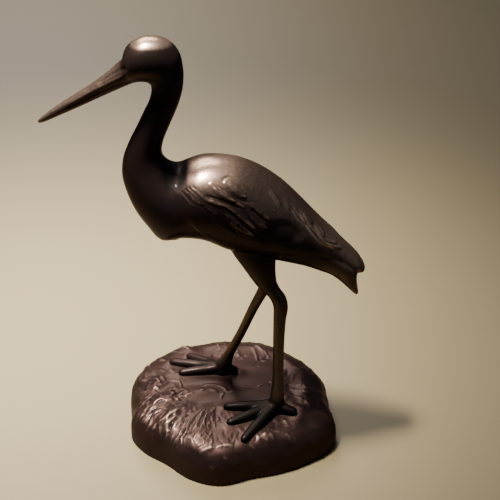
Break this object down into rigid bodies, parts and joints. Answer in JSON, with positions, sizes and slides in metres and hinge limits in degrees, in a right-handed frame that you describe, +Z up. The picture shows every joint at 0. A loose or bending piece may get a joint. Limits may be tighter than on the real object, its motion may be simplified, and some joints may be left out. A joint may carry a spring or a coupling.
{
  "type": "bronze stork sculpture",
  "caption": "Small cast bronze of a long-billed stork in mid stride, neck in an S, standing on a lobed mound of grassy earth.",
  "frame": {"origin": "middle of the mound's flat underside", "axes": "+Z up, -X the way the bird faces, -Y out of its left flank"},
  "size_m": [0.1116, 0.0735, 0.1598],
  "materials": {
    "bird_bronze": "satin dark brown patina, rubbed golden on the crown and bill",
    "ground_bronze": "satin dark brown patina, rubbed lighter on the raised grass"
  },
  "bodies": {
    "root": {"stork": "bird_bronze", "mound": "ground_bronze"}
  },
  "joints": []
}
